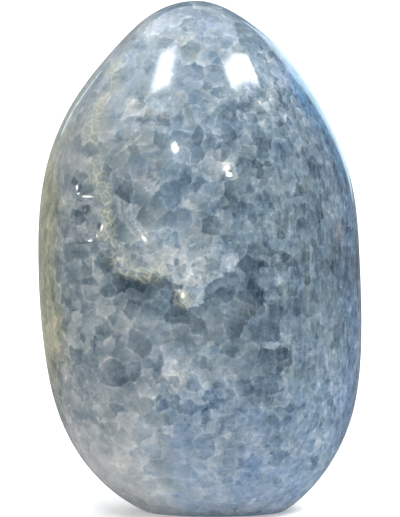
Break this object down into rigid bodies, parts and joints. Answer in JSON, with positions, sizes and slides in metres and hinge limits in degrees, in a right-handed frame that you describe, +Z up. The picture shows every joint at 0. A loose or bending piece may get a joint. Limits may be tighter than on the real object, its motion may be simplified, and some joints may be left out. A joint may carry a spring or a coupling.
{
  "type": "polished calcite freeform",
  "caption": "Polished standing freeform of pale blue calcite, a rounded upright stone with soft ground flats and a small flat foot.",
  "frame": {"origin": "on the surface that the stone stands on, under the middle of its width and depth", "axes": "+Z up through the crown, +X to the stone's right as its front is looked at, and the front face towards -Y"},
  "size_m": [0.0957, 0.0679, 0.15],
  "materials": {
    "polished_calcite": "polished"
  },
  "bodies": {
    "root": {"calcite_stone": "polished_calcite"}
  },
  "joints": []
}
